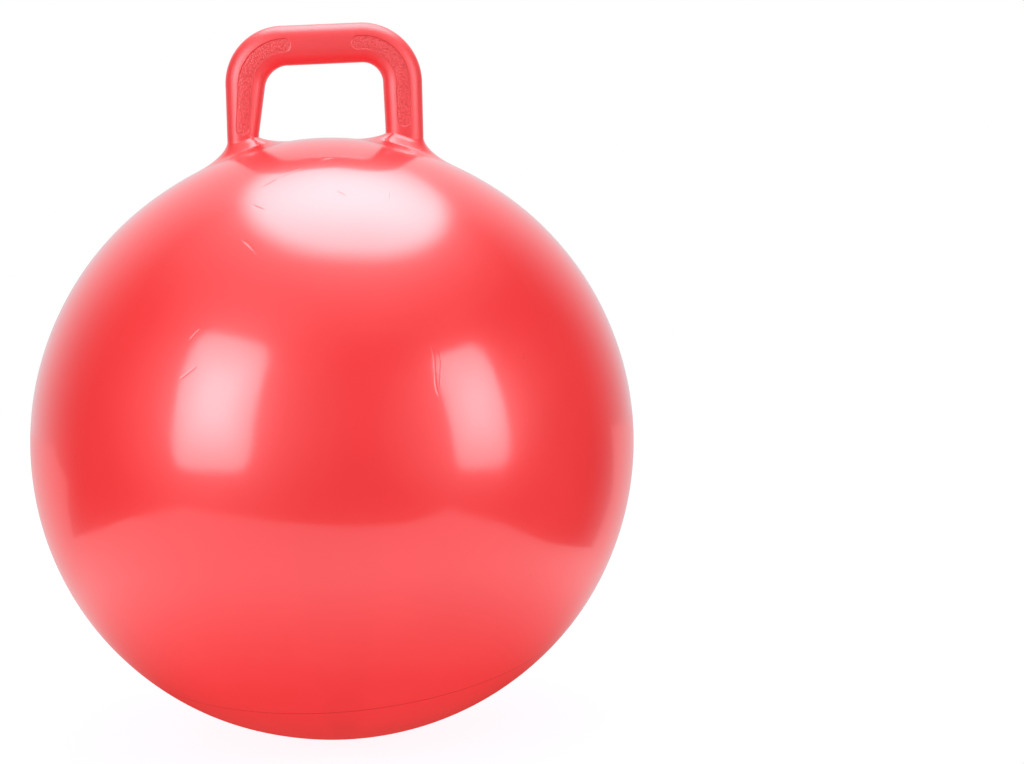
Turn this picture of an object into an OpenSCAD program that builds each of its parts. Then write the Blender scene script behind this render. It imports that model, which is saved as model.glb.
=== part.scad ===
// Hopper ball: a blown-up skin with a hollow moulded handle on its crown, and a valve with a pull-out plug.
// The origin is on the floor under the ball's middle, +Z is up, +X is to the right seen from the front, -Y.

/* [Ball] */
// Diameter of the blown-up ball
ball_d = 550; // [450:5:650]
// Thickness of the skin
skin_t = 0.9; // [0.8:0.1:2]
// How far the handle draws up the crown of the ball
crown_rise = 2.7; // [0:0.1:5]
// Angle from the top in which the crown falls back to round
crown_angle = 34; // [25:1:50]
// How much the bottom stays behind a true sphere
base_drop = 3; // [0:0.1:5]
// Angle from the bottom in which it does so
base_angle = 60; // [45:1:80]
// Radius of the patch that the floor presses flat
patch_r = 38; // [25:1:60]

/* [Handle] */
// Width over both legs
handle_w = 177.4; // [150:0.2:210]
// Height of the bar's top over the crown
handle_h = 102.8; // [85:0.2:130]
// How much lower the bar lies at its left end
bar_slope = 1.6; // [0:0.1:4]
// Depth of the handle from front to back
handle_depth = 31; // [26:0.5:40]
// Width of a leg just under the corner
leg_w = 35.4; // [28:0.2:42]
// Width of the left leg at its foot
left_foot_w = 28.6; // [26:0.2:40]
// Width of the right leg at its foot
right_foot_w = 34.3; // [26:0.2:40]
// Height of the bar
bar_w = 35.8; // [28:0.2:42]
// Width across the left corner
left_corner_w = 37.8; // [30:0.2:44]
// Width across the right corner
right_corner_w = 35.4; // [30:0.2:44]
// Radius of the left corner's middle line
left_corner_r = 37.1; // [28:0.2:45]
// Radius of the right corner's middle line
right_corner_r = 36.4; // [28:0.2:45]
// Squareness of the handle's section: 2 is an ellipse, and more comes nearer to a box
squareness = 2.5; // [2:0.1:4]
// Wall of the hollow handle
handle_wall = 3; // [2:0.25:4]

/* [Grip panels] */
// Width of a sunk grip panel
panel_w = 11.4; // [8:0.2:14]
// How deep the panels are sunk
panel_sink = 0.9; // [0.4:0.1:1.5]
// Width of the step down to a panel's floor
panel_step = 0.8; // [0.4:0.1:1.5]
// From the middle of the bar to the left panel's end
left_panel_gap = 29.5; // [15:0.5:32]
// From the middle of the bar to the right panel's end
right_panel_gap = 26; // [15:0.5:32]
// From the crown's height up to the left panel's lower end
left_panel_lift = 3.8; // [3:0.1:12]
// From the crown's height up to the right panel's lower end
right_panel_lift = 8.4; // [3:0.1:12]

/* [Flared feet] */
// How far a foot runs out on the ball, away from the handle's opening
flare_out_w = 27; // [15:0.5:35]
// How high up the leg it starts there
flare_out_h = 15; // [8:0.5:16]
// How far a foot runs out towards the handle's opening
flare_in_w = 27; // [10:0.5:30]
// How high up the leg it starts there
flare_in_h = 9.5; // [6:0.5:9.5]
// How round it is there: 1 is a quarter of an ellipse, and less is nearer to a plain slope
flare_in_round_share = 0.3; // [0:0.05:1]
// How far the bevelled collar at a foot's front and back runs out
collar_w = 14; // [8:0.5:26]
// How high up the leg it starts
collar_h = 10.8; // [6:0.1:12]
// How much higher it starts towards the handle's opening, as a share of its height
collar_tilt_share = 0.25; // [0:0.05:0.4]
// Thickness of a foot's edge
flare_lip = 0.4; // [0.3:0.1:1]
// Gap between the skin and the feet or the valve's ring, which are joined to it
seat_gap = 0.2; // [0.1:0.05:0.3]

/* [Valve] */
// Angle of the valve from the top, at the back
valve_angle = 36; // [35:1:60]
// Radius of the seat's ring on the outside of the skin
ring_r = 12.5; // [11:0.25:16]
// Height of the ring over the skin
ring_h = 1.4; // [1:0.1:2.5]
// Radius of the seat where it passes through the skin
neck_r = 8.5; // [7.5:0.25:10]
// Radius of the flange inside the skin
flange_r = 15; // [11:0.25:18]
// Thickness of the flange
flange_t = 2.5; // [1.5:0.25:4]
// Length of the seat's boss inside the ball
boss_len = 14; // [8:0.5:20]
// Radius of the bore that takes the plug
bore_r = 4.5; // [3.5:0.1:5.5]
// Radius of the plug's head
head_r = 7.2; // [6.5:0.1:8]
// Thickness of the plug's head
head_t = 2.2; // [1.8:0.1:3]
// How deep the head sits in the ring
recess_h = 1.2; // [0.6:0.1:1.6]
// Length of the plug's stem
stem_len = 15; // [10:0.5:20]
// Width of a groove round the stem
groove_w = 1.2; // [0.6:0.1:2]
// Depth of a groove round the stem
groove_h = 0.5; // [0.2:0.1:0.8]
// Gap round the stem in its bore
run_gap = 0.05; // [0.02:0.01:0.08]
// Gap round the plug's head and under the seat's ring
head_gap = 0.3; // [0.2:0.05:0.5]
// Small bevels of the valve's edges
bevel = 0.5; // [0.3:0.1:0.7]

/* [Hidden] */
$fn = 96;
// How far a cut runs past what it cuts
overrun = 5;
ball_red = [0.94, 0.2, 0.21];
plug_white = [0.93, 0.92, 0.88];

// The ball's outline: its radius at an angle from the top, and the height of its middle
ball_r = ball_d / 2;
outline_steps = 64;
function swell(share) = share < 1 ? (1 + cos(180 * share)) / 2 : 0;
function skin_r(a) =
    ball_r + crown_rise * swell(a / crown_angle) - base_drop * swell((180 - a) / base_angle);
patch_angle = asin(patch_r / (ball_r - base_drop));
middle_z = skin_r(180 - patch_angle) * cos(patch_angle);
crown_z = middle_z + skin_r(0);

// One side of the skin from the top down to the pressed patch, moved in by inset
function skin_side(inset) = [
    for (i = [0 : outline_steps])
        let (a = (180 - patch_angle) * i / outline_steps, r = skin_r(a) - inset)
            [r * sin(a), middle_z + r * cos(a)]
];
function turned(list) = [for (i = [len(list) - 1 : -1 : 0]) list[i]];

// Height of the skin's outside over a point of the floor plan
function skin_z(x, y) =
    let (
        d = norm([x, y]),
        a0 = asin(d / ball_r),
        a1 = asin(d / skin_r(a0)),
        a = asin(d / skin_r(a1))
    )
    middle_z + skin_r(a) * cos(a);

// Rings of points along the handle. Point order: outer edge, back, inner edge, front.
edge_steps = 10;
corner_steps = 12;
leg_steps = 2;
half_depth = handle_depth / 2;
panel_r = panel_w / 2;
panel_tip_share = 0.08;
panel_round_share = 1 - cos(45);
left_bar_z = crown_z + handle_h - bar_slope - bar_w / 2;
right_bar_z = crown_z + handle_h - bar_w / 2;
left_leg_x = -(handle_w - leg_w) / 2;
right_leg_x = (handle_w - leg_w) / 2;
left_turn_x = left_leg_x + left_corner_r;
right_turn_x = right_leg_x - right_corner_r;
left_turn_z = left_bar_z - left_corner_r;
right_turn_z = right_bar_z - right_corner_r;

function mix(a, b, share) = a + (b - a) * share;

// A section is a superellipse. Each point is [across, depth, normal across, normal depth], at an angle a that
// goes from the outer side over the back. Each face holds a grip panel of half width p, sunk by sink.
function power(value, exponent) = sign(value) * pow(abs(value), exponent);
function section_point(hw, hd, a, sink) =
    let (
        c = power(cos(a), 2 / squareness),
        s = power(sin(a), 2 / squareness),
        n = [power(c, squareness - 1) / hw, power(s, squareness - 1) / hd]
    )
    [hw * c, hd * s - sign(s) * sink, n[0] / norm(n), n[1] / norm(n)];
function place_angle(across_share) = acos(power(across_share, squareness / 2));
function section(hw, hd, p, sink) =
    let (rim = p + min(panel_step, p), rim_angle = place_angle(rim / hw))
    [
        for (turned_by = [0, 180])
            each [
                for (i = [1 : edge_steps - 1])
                    section_point(hw, hd, turned_by + rim_angle * (2 * i / edge_steps - 1), 0),
                for (q = [rim, p, 0, -p, -rim])
                    section_point(hw, hd, turned_by + place_angle(q / hw), abs(q) > p ? 0 : sink)
            ]
    ];

// A station is [x, z, angle of the outward side, half width, panel half width, panel sink].
// The section stands square to the handle's middle line there.
function ring_at(station, inset) =
    let (
        out = [cos(station[2]), sin(station[2])],
        points = section(
            station[3] - inset,
            half_depth - inset,
            inset > 0 ? panel_r * (1 - inset / station[3]) : station[4],
            inset > 0 ? 0 : station[5]
        )
    )
    [for (q = points) [station[0] + out[0] * q[0], q[1], station[1] + out[1] * q[0]]];

// Stations up one leg: its outer side stays upright and its width grows from the foot
function leg_half(foot_w, z, foot_z, turn_z) =
    mix(foot_w, leg_w, (z - foot_z) / (turn_z - foot_z)) / 2;
function leg_station(side, foot_w, z, foot_z, turn_z, p, sink) =
    let (half = leg_half(foot_w, z, foot_z, turn_z))
    [side * (handle_w / 2 - half), z, side > 0 ? 0 : 180, half, p, sink];
function leg(side, foot_w, lift, turn_z) =
    let (tip_z = crown_z + lift, round_z = tip_z + panel_r)
    [
        leg_station(side, foot_w, tip_z, tip_z, turn_z, panel_r * panel_tip_share, 0),
        leg_station(
            side, foot_w, tip_z + panel_r * panel_round_share, tip_z, turn_z,
            panel_r * sin(45), panel_sink
        ),
        for (i = [0 : leg_steps])
            leg_station(
                side, foot_w, mix(round_z, turn_z, i / (leg_steps + 1)), tip_z, turn_z,
                panel_r, panel_sink
            )
    ];

// Stations round one corner, from the leg to the bar, widest in the middle
function corner(side, x, z, r, corner_w) = [
    for (i = [0 : corner_steps])
        let (
            a = 90 * i / corner_steps,
            half = mix(mix(leg_w, bar_w, i / corner_steps), corner_w, sin(2 * a)) / 2,
            angle = side > 0 ? a : 180 - a
        )
        [x + r * cos(angle), z + r * sin(angle), angle, half, panel_r, panel_sink]
];

// Stations at the round end of a panel on the bar, where the bar starts to be plain
function bar_z(x) =
    mix(left_bar_z, right_bar_z, (x - left_turn_x) / (right_turn_x - left_turn_x));
function bar_end(side, gap) = [
    for (q = [[1, 1, 1], [panel_round_share, sin(45), 1], [0, panel_tip_share, 0]])
        let (x = side * (gap + panel_r * q[0]))
            [x, bar_z(x), 90, bar_w / 2, panel_r * q[1], panel_sink * q[2]]
];

// A foot's ring: the leg's lowest section, spread on the ball. Its step counts from the leg to the edge.
// Towards both sides the foot is a hollow flare. At the front and back it is a collar: a bevel at the leg,
// a steeper wall and a low toe. Each row here is a point of the collar: the shares of its width and height.
collar_shares = [[0, 1], [0.13, 0.87], [0.26, 0.72], [0.38, 0.52], [0.5, 0.32], [0.75, 0.09], [1, 0]];
flare_steps = len(collar_shares) - 1;
function flare_size(across_share, n_across, step) =
    let (
        share = n_across * n_across,
        turn = 90 * step / flare_steps,
        round_fall = 1 - sin(turn),
        in_fall = mix(pow(max(cos(turn), 0), 1.5), round_fall, flare_in_round_share),
        collar = [collar_w, collar_h * (1 - collar_tilt_share * across_share)],
        out = n_across > 0
    )
    [
        mix(collar[0] * collar_shares[step][0], (out ? flare_out_w : flare_in_w) * (1 - cos(turn)), share),
        mix(collar[1] * collar_shares[step][1], out ? flare_out_h * round_fall : flare_in_h * in_fall, share)
    ];
function foot_ring(station, step) = [
    for (q = section(station[3], half_depth, panel_r * panel_tip_share, 0))
        let (
            off = flare_size(q[0] / station[3], q[2], step),
            x = station[0] + cos(station[2]) * (q[0] + q[2] * off[0]),
            y = q[1] + q[3] * off[0],
            edge_z = skin_z(x, y) + seat_gap + flare_lip
        )
        [x, y, min(edge_z + off[1], station[1] - flare_lip)]
];

// Rings of a foot's underside, from its edge in to the hollow. They lie on the ball's curve.
function on_skin(x, y) = [x, y, skin_z(x, y) + seat_gap];
function sole_ring(station, share) =
    let (edge = foot_ring(station, flare_steps), hole = ring_at(station, handle_wall))
    [
        for (i = [0 : len(edge) - 1])
            on_skin(mix(edge[i][0], hole[i][0], share), mix(edge[i][1], hole[i][1], share))
    ];

left_leg = leg(-1, left_foot_w, left_panel_lift, left_turn_z);
right_leg = leg(1, right_foot_w, right_panel_lift, right_turn_z);
left_corner = corner(-1, left_turn_x, left_turn_z, left_corner_r, left_corner_w);
right_corner = corner(1, right_turn_x, right_turn_z, right_corner_r, right_corner_w);
stations = concat(
    left_leg,
    left_corner,
    bar_end(-1, left_panel_gap),
    turned(bar_end(1, right_panel_gap)),
    turned(right_corner),
    turned(right_leg)
);
// The hollow needs fewer stations: the legs' ends and every second one of a corner
hollow_stations = concat(
    [left_leg[0]],
    [for (i = [0 : 2 : corner_steps]) left_corner[i]],
    [for (i = [corner_steps : -2 : 0]) right_corner[i]],
    [right_leg[0]]
);
sole_shares = [1, 0.75, 0.5, 0.25, 0];
handle_rings = concat(
    [for (share = sole_shares) sole_ring(left_leg[0], share)],
    [for (step = [flare_steps : -1 : 0]) foot_ring(left_leg[0], step)],
    [for (s = stations) ring_at(s, 0)],
    [for (step = [0 : flare_steps]) foot_ring(right_leg[0], step)],
    [for (share = turned(sole_shares)) sole_ring(right_leg[0], share)],
    [for (s = turned(hollow_stations)) ring_at(s, handle_wall)]
);

module ball_skin() {
    color(ball_red)
    difference() {
        rotate_extrude()
            polygon(concat(
                skin_side(0),
                [[0, 0], [0, skin_t * cos(patch_angle)]],
                turned(skin_side(skin_t))
            ));
        at_valve() translate([0, 0, -skin_t - overrun]) cylinder(r = neck_r, h = skin_t + 2 * overrun);
    }
}

// The rings run out over the handle and back through its hollow, so the last joins the first
module handle() {
    count = len(handle_rings[0]);
    rings = len(handle_rings);
    color(ball_red)
    polyhedron(
        points = [for (ring = handle_rings) each ring],
        faces = [
            for (i = [0 : rings - 1], j = [0 : count - 1])
                let (
                    a = i * count + j,
                    b = i * count + (j + 1) % count,
                    c = ((i + 1) % rings) * count + (j + 1) % count,
                    d = ((i + 1) % rings) * count + j
                )
                each [[a, b, c], [a, c, d]]
        ]
    );
}

// How far the ball's curve falls away under the valve at a radius from its middle
function sag(r) = ball_r - sqrt(ball_r * ball_r - r * r);

// Puts a piece on the skin at the valve, with +Z straight out of the ball
module at_valve() {
    translate([0, 0, middle_z])
        rotate([-valve_angle, 0, 0])
            translate([0, 0, skin_r(valve_angle)])
                children();
}

module valve_seat() {
    recess_r = head_r + head_gap;
    floor_z = ring_h - recess_h;
    inner_r = neck_r - head_gap;
    under_skin_z = -skin_t - head_gap;
    flange_z = under_skin_z - flange_t;
    color(ball_red)
    at_valve()
    rotate_extrude()
        polygon([
            [bore_r, -boss_len],
            [bore_r, floor_z],
            [recess_r, floor_z],
            [recess_r, ring_h],
            [ring_r - bevel, ring_h],
            [ring_r, ring_h - bevel],
            [ring_r, seat_gap - sag(ring_r)],
            [inner_r, seat_gap - sag(inner_r)],
            [inner_r, under_skin_z],
            [flange_r, under_skin_z - sag(flange_r)],
            [flange_r, flange_z + bevel],
            [flange_r - bevel, flange_z],
            [neck_r, flange_z],
            [neck_r, -boss_len + bevel],
            [neck_r - bevel, -boss_len]
        ]);
}

module valve_plug() {
    stem_r = bore_r - run_gap;
    seat_z = ring_h - recess_h + run_gap;
    tip_z = seat_z - stem_len;
    groove_pitch = stem_len / 4;
    color(plug_white)
    at_valve()
    difference() {
        rotate_extrude()
            polygon([
                [0, tip_z],
                [stem_r - 2 * bevel, tip_z],
                [stem_r, tip_z + 2 * bevel],
                [stem_r, seat_z],
                [head_r, seat_z],
                [head_r, seat_z + head_t - bevel],
                [head_r - bevel, seat_z + head_t],
                [0, seat_z + head_t]
            ]);
        for (i = [1 : 3])
            translate([0, 0, tip_z + groove_pitch * i - groove_w / 2])
                difference() {
                    cylinder(r = stem_r + overrun, h = groove_w);
                    translate([0, 0, -overrun])
                        cylinder(r = stem_r - groove_h, h = groove_w + 2 * overrun);
                }
    }
}

ball_skin();
handle();
valve_seat();
valve_plug();
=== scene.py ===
# %% [markdown]
# # Hopper ball
# A hopper ball is a blown-up vinyl ball with a moulded loop handle, which a child sits on and hops.
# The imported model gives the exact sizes. This lesson dresses it: a fine skin, a handle with grip
# panels, a valve, glossy red vinyl, and a small photo studio round it all.

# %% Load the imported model
import math

import bpy
import numpy as np
from mathutils import Matrix, Vector


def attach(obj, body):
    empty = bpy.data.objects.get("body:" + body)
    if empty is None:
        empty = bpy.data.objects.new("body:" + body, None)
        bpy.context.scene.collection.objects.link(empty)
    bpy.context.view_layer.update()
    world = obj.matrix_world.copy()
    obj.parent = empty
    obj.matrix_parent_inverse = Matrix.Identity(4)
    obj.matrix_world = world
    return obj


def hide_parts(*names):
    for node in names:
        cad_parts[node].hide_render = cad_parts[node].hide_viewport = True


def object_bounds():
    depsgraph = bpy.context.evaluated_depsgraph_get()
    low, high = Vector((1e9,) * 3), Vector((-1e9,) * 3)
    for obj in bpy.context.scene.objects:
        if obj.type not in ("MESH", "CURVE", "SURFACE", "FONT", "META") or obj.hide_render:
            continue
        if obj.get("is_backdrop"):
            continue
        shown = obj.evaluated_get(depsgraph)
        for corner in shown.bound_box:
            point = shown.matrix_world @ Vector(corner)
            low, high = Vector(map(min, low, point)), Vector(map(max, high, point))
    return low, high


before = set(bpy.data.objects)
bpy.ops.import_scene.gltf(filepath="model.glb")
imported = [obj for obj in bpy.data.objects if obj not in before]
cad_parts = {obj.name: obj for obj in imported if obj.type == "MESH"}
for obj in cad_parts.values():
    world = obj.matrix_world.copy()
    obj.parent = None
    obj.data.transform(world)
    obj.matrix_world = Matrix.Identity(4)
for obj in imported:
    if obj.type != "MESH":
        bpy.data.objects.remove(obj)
cad_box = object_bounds()
print("CAD nodes:", sorted(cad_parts))

# %% [markdown]
# ## Sizes
# The skin and the handle follow the same formulas as the solid model, so that a piece made here
# lies exactly where its solid lies. All sizes are written in millimetres and scaled to metres once.

# %% Sizes of the ball
MM = 0.001
BALL_R = 275 * MM
SKIN_T = 0.9 * MM
CROWN_RISE, CROWN_ANGLE = 2.7 * MM, 34
BASE_DROP, BASE_ANGLE = 3 * MM, 60
PATCH_R = 38 * MM


def swell(share):
    """1 at share 0, falling smoothly to 0 at share 1."""
    return (1 + np.cos(np.pi * np.clip(share, 0, 1))) / 2


def outline_r(angle):
    """Radius at an angle from the top, in degrees: drawn up at the crown, sunk at the base."""
    crown = CROWN_RISE * swell(angle / CROWN_ANGLE)
    base = BASE_DROP * swell((180 - angle) / BASE_ANGLE)
    return BALL_R + crown - base


patch_angle = math.degrees(math.asin(PATCH_R / (BALL_R - BASE_DROP)))
MIDDLE_Z = float(outline_r(180 - patch_angle)) * math.cos(math.radians(patch_angle))
CROWN_Z = MIDDLE_Z + float(outline_r(0))
print(f"middle at {MIDDLE_Z / MM:.2f} mm, crown at {CROWN_Z / MM:.2f} mm")

# %% [markdown]
# ## The camera
# The camera comes first, because everything is seen through it. It stands 2.2 m from the ball's
# middle and 8 degrees above it, looks a little past the ball, and leans by almost 2 degrees, as a
# camera held in the hand does. The matrix is built from three turns: aim at the ball, turn until the
# ball sits left of the middle, and lean about the line to the ball.

# %% Camera
WIDE, HIGH = 1024, 764
FOCAL_PX = 2400
BALL_PX = (334.7, 440.7)
BALL_R_PX = 300.1
ELEVATION, LEAN = math.radians(8), math.radians(-1.75)

distance = BALL_R / math.sin(math.atan(BALL_R_PX / FOCAL_PX))
eye = Vector((0, -distance * math.cos(ELEVATION), MIDDLE_Z + distance * math.sin(ELEVATION)))
back = (eye - Vector((0, 0, MIDDLE_Z))).normalized()
right = Vector((1, 0, 0))
aimed = Matrix((right, back.cross(right), back)).transposed()
ball_x, ball_y = (BALL_PX[0] - WIDE / 2) / FOCAL_PX, (HIGH / 2 - BALL_PX[1]) / FOCAL_PX
to_ball = Vector((ball_x, ball_y, -1)).normalized()
aside = to_ball.rotation_difference(Vector((0, 0, -1))).to_matrix()
leaned = Matrix.Rotation(LEAN, 3, back)

lens = bpy.data.cameras.new("studio_camera")
lens.sensor_width = 36
lens.lens = FOCAL_PX * lens.sensor_width / WIDE
camera = bpy.data.objects.new("studio_camera", lens)
bpy.context.scene.collection.objects.link(camera)
camera.matrix_world = Matrix.Translation(eye) @ (leaned @ aimed @ aside).to_4x4()
bpy.context.scene.camera = camera
print(f"camera {distance:.3f} m from the ball, lens {lens.lens:.2f} mm")

# %% [markdown]
# ## A surface that isn't perfect
# A blown-up ball is never a true sphere: the vinyl is a little thicker in some places, so it gives
# way unevenly under the pressure. Nobody sees a tenth of a millimetre, but everybody sees a mirror
# image with a wobbly edge. So a few long waves are added to the radius. They are a sum of sines with
# a fixed seed, which gives the same ball each time.

# %% Long waves of the skin
WAVES, SHORTEST, LONGEST = 14, 75, 190
WAVE_SHARE = 0.000225  # a wave's height as a share of its length
CALM_VALVE, CALM_BASE = 0.02, 0.06  # how far the calm reaches, as 1 minus the cosine of its angle
VALVE_ANGLE = 36

generator = np.random.default_rng(11)
wave_dirs = generator.normal(size=(WAVES, 3))
wave_dirs /= np.linalg.norm(wave_dirs, axis=1)[:, None]
wave_lengths = generator.uniform(SHORTEST, LONGEST, WAVES) * MM
wave_phases = generator.uniform(0, 2 * np.pi, WAVES)
VALVE_DIR = np.array([0, math.sin(math.radians(VALVE_ANGLE)), math.cos(math.radians(VALVE_ANGLE))])


def waves(directions):
    """Height of the waves for unit vectors from the middle, none near the valve and the base."""
    phase = directions @ (wave_dirs * BALL_R * 2 * np.pi / wave_lengths[:, None]).T + wave_phases
    height = (np.sin(phase) * wave_lengths).sum(-1) * WAVE_SHARE
    near_valve = swell((1 - directions @ VALVE_DIR) / CALM_VALVE)
    near_base = swell((1 + directions[..., 2]) / CALM_BASE)
    return height * (1 - near_valve) * (1 - near_base)


def skin_points(directions, inset=0.0):
    """Points of the skin in those directions from the ball's middle, pressed flat where it stands."""
    angle = np.degrees(np.arccos(np.clip(directions[..., 2], -1, 1)))
    points = directions * (outline_r(angle) + waves(directions) - inset)[..., None]
    points[..., 2] = np.maximum(points[..., 2] + MIDDLE_Z, inset)
    return points


def skin_height(x, y):
    """Height of the skin over a point of the floor plan, found in a few rounds."""
    rise = np.sqrt(BALL_R**2 - x**2 - y**2)
    for _ in range(5):
        directions = np.stack([x, y, rise], -1)
        directions = directions / np.linalg.norm(directions, axis=-1, keepdims=True)
        angle = np.degrees(np.arccos(directions[..., 2]))
        rise = np.sqrt((outline_r(angle) + waves(directions)) ** 2 - x**2 - y**2)
    return MIDDLE_Z + rise


sample = generator.normal(size=(4000, 3))
sample /= np.linalg.norm(sample, axis=1)[:, None]
print(f"waves run from {waves(sample).min() / MM:.2f} to {waves(sample).max() / MM:.2f} mm")

# %% [markdown]
# ## From rings of points to a mesh
# The skin, the handle and the valve are all made of closed rings of points, one after another, like
# the hoops of a barrel. One helper joins each ring to the next with four-sided faces and closes an
# end with a fan of triangles where a tip point is given. It then checks which way the faces look.


# %% Mesh from rings
def mesh_from_rings(name, rings, first_tip=None, last_tip=None):
    """Object from an array of rings (ring, point, xyz). A tip closes an end with a fan."""
    rings = np.asarray(rings, float)
    count, around = rings.shape[:2]
    points = rings.reshape(-1, 3)
    ring, step = np.meshgrid(np.arange(count - 1), np.arange(around), indexing="ij")
    after = (step + 1) % around
    here, there = ring * around, (ring + 1) * around
    quads = np.stack([here + step, here + after, there + after, there + step], -1)
    faces = quads.reshape(-1, 4).tolist()
    last = (count - 1) * around
    if first_tip is not None:
        points = np.vstack([points, first_tip])
        faces += [[len(points) - 1, (i + 1) % around, i] for i in range(around)]
    if last_tip is not None:
        points = np.vstack([points, last_tip])
        faces += [[len(points) - 1, last + i, last + (i + 1) % around] for i in range(around)]
    triangles = [face[:3] for face in faces]
    triangles += [[face[0], face[2], face[3]] for face in faces if len(face) == 4]
    a, b, c = (points[[corners[i] for corners in triangles]] for i in range(3))
    if np.einsum("ij,ij->", a, np.cross(b, c)) < 0:  # a negative volume: the faces look inwards
        faces = [face[::-1] for face in faces]
    mesh = bpy.data.meshes.new(name)
    mesh.from_pydata(points.tolist(), [], faces)
    mesh.polygons.foreach_set("use_smooth", np.ones(len(faces), bool))
    mesh.update()
    obj = bpy.data.objects.new(name, mesh)
    bpy.context.scene.collection.objects.link(obj)
    print(f"{name}: {len(points)} points, {len(faces)} faces")
    return obj


# %% [markdown]
# ## The skin
# The skin is a hollow vinyl shell with one round hole for the valve. A grid like a globe's has its
# lines run together at two poles. Here one pole is put on the valve, so that the hole is simply the
# first ring of the grid and needs no cutting. The grid runs over the outside to the far pole, and
# back inside, which gives the shell its real thickness.

# %% Skin of the ball
NECK_R = 8.5 * MM
AROUND = 384
FAR_RING, HOLE_RING, INNER_FAR_RING = 179.2, 6, 176  # degrees from the valve

valve_x = np.array([1.0, 0, 0])
valve_y = np.cross(VALVE_DIR, valve_x)
turn = np.linspace(0, 2 * np.pi, AROUND, endpoint=False)
side_dirs = np.cos(turn)[:, None] * valve_x + np.sin(turn)[:, None] * valve_y


def globe_rings(angles, inset):
    """Rings of the skin at angles, in degrees, from the valve."""
    a = np.radians(angles)[:, None, None]
    return skin_points(np.cos(a) * VALVE_DIR + np.sin(a) * side_dirs, inset)


hole_angle = math.degrees(math.asin(NECK_R / BALL_R))
to_hole, round_hole = np.linspace(FAR_RING, HOLE_RING, 190), np.linspace(5.2, hole_angle, 7)
outer_angles = np.concatenate([to_hole, round_hole])
inner_angles = np.linspace(hole_angle, INNER_FAR_RING, 24)
far_pole = -VALVE_DIR[None]
skin = mesh_from_rings(
    "ball_skin_vinyl",
    np.concatenate([globe_rings(outer_angles, 0), globe_rings(inner_angles, SKIN_T)]),
    first_tip=skin_points(far_pole),
    last_tip=skin_points(far_pole, SKIN_T),
)
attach(skin, "ball")
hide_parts("ball_skin")

# %% [markdown]
# ## The handle's middle line
# The handle is one hollow moulding in the shape of a wide arch: a leg, a corner, the bar, a corner, a
# leg. Its outline is followed by stations. Each one holds a place on the middle line, the angle of
# the outward side, and half of the width there. The legs stay upright outside and grow wider towards
# the corners, and the two corners differ a little, as they do in the real moulding.

# %% Stations along the handle
HANDLE_W, HANDLE_H, BAR_SLOPE = 177.4 * MM, 102.8 * MM, 1.6 * MM
LEG_W, BAR_W = 35.4 * MM, 35.8 * MM
FOOT_W = {-1: 28.6 * MM, 1: 34.3 * MM}
CORNER_W = {-1: 37.8 * MM, 1: 35.4 * MM}
CORNER_R = {-1: 37.1 * MM, 1: 36.4 * MM}
PANEL_LIFT = {-1: 3.8 * MM, 1: 8.4 * MM}
bar_z = {-1: CROWN_Z + HANDLE_H - BAR_SLOPE - BAR_W / 2, 1: CROWN_Z + HANDLE_H - BAR_W / 2}
turn_x = {side: side * ((HANDLE_W - LEG_W) / 2 - CORNER_R[side]) for side in (-1, 1)}
turn_z = {side: bar_z[side] - CORNER_R[side] for side in (-1, 1)}


def leg_stations(side, count=96):
    """Rows of x, z, outward angle and half width, from the foot up."""
    foot_z = CROWN_Z + PANEL_LIFT[side]
    share = np.linspace(0, 1, count, endpoint=False)
    half = (FOOT_W[side] + (LEG_W - FOOT_W[side]) * share) / 2
    z = foot_z + (turn_z[side] - foot_z) * share
    angle = np.full(count, 0.0 if side > 0 else 180.0)
    return np.stack([side * (HANDLE_W / 2 - half), z, angle, half], -1)


def corner_stations(side, count=110):
    """From the leg to the bar, widest in the middle of the corner."""
    share = np.linspace(0, 1, count, endpoint=False)
    a = np.radians(90 * share)
    straight = LEG_W + (BAR_W - LEG_W) * share
    half = (straight + (CORNER_W[side] - straight) * np.sin(2 * a)) / 2
    x = turn_x[side] + side * CORNER_R[side] * np.cos(a)
    z = turn_z[side] + CORNER_R[side] * np.sin(a)
    angle = 90 * share if side > 0 else 180 - 90 * share
    return np.stack([x, z, angle, half], -1)


BAR_COUNT = 150
bar_share = np.linspace(0, 1, BAR_COUNT)
bar_x = turn_x[-1] + (turn_x[1] - turn_x[-1]) * bar_share
bar_middle = bar_z[-1] + (bar_z[1] - bar_z[-1]) * bar_share
bar_angle, bar_half = np.full(BAR_COUNT, 90.0), np.full(BAR_COUNT, BAR_W / 2)
bar_stations = np.stack([bar_x, bar_middle, bar_angle, bar_half], -1)
stations = np.concatenate([
    leg_stations(-1), corner_stations(-1), bar_stations,
    corner_stations(1)[::-1], leg_stations(1)[::-1],
])
steps = np.linalg.norm(np.diff(stations[:, :2], axis=0), axis=1)
along = np.concatenate([[0], np.cumsum(steps)])
print(f"{len(stations)} stations over {along[-1] / MM:.0f} mm")

# %% [markdown]
# ## The handle's cross-section
# Cut across, the handle is a superellipse, 31 mm deep: squarer than an ellipse and rounder than a box.
# Its front and back carry sunk grip panels that follow the middle line and end in half circles. The
# panels could be cut out with booleans, but it is neater to press them in: every point knows how far
# it is from the panel's middle line, and those inside go down by a smooth step to the panel's floor.
# The points of a section lie closest together where that step comes.

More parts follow.
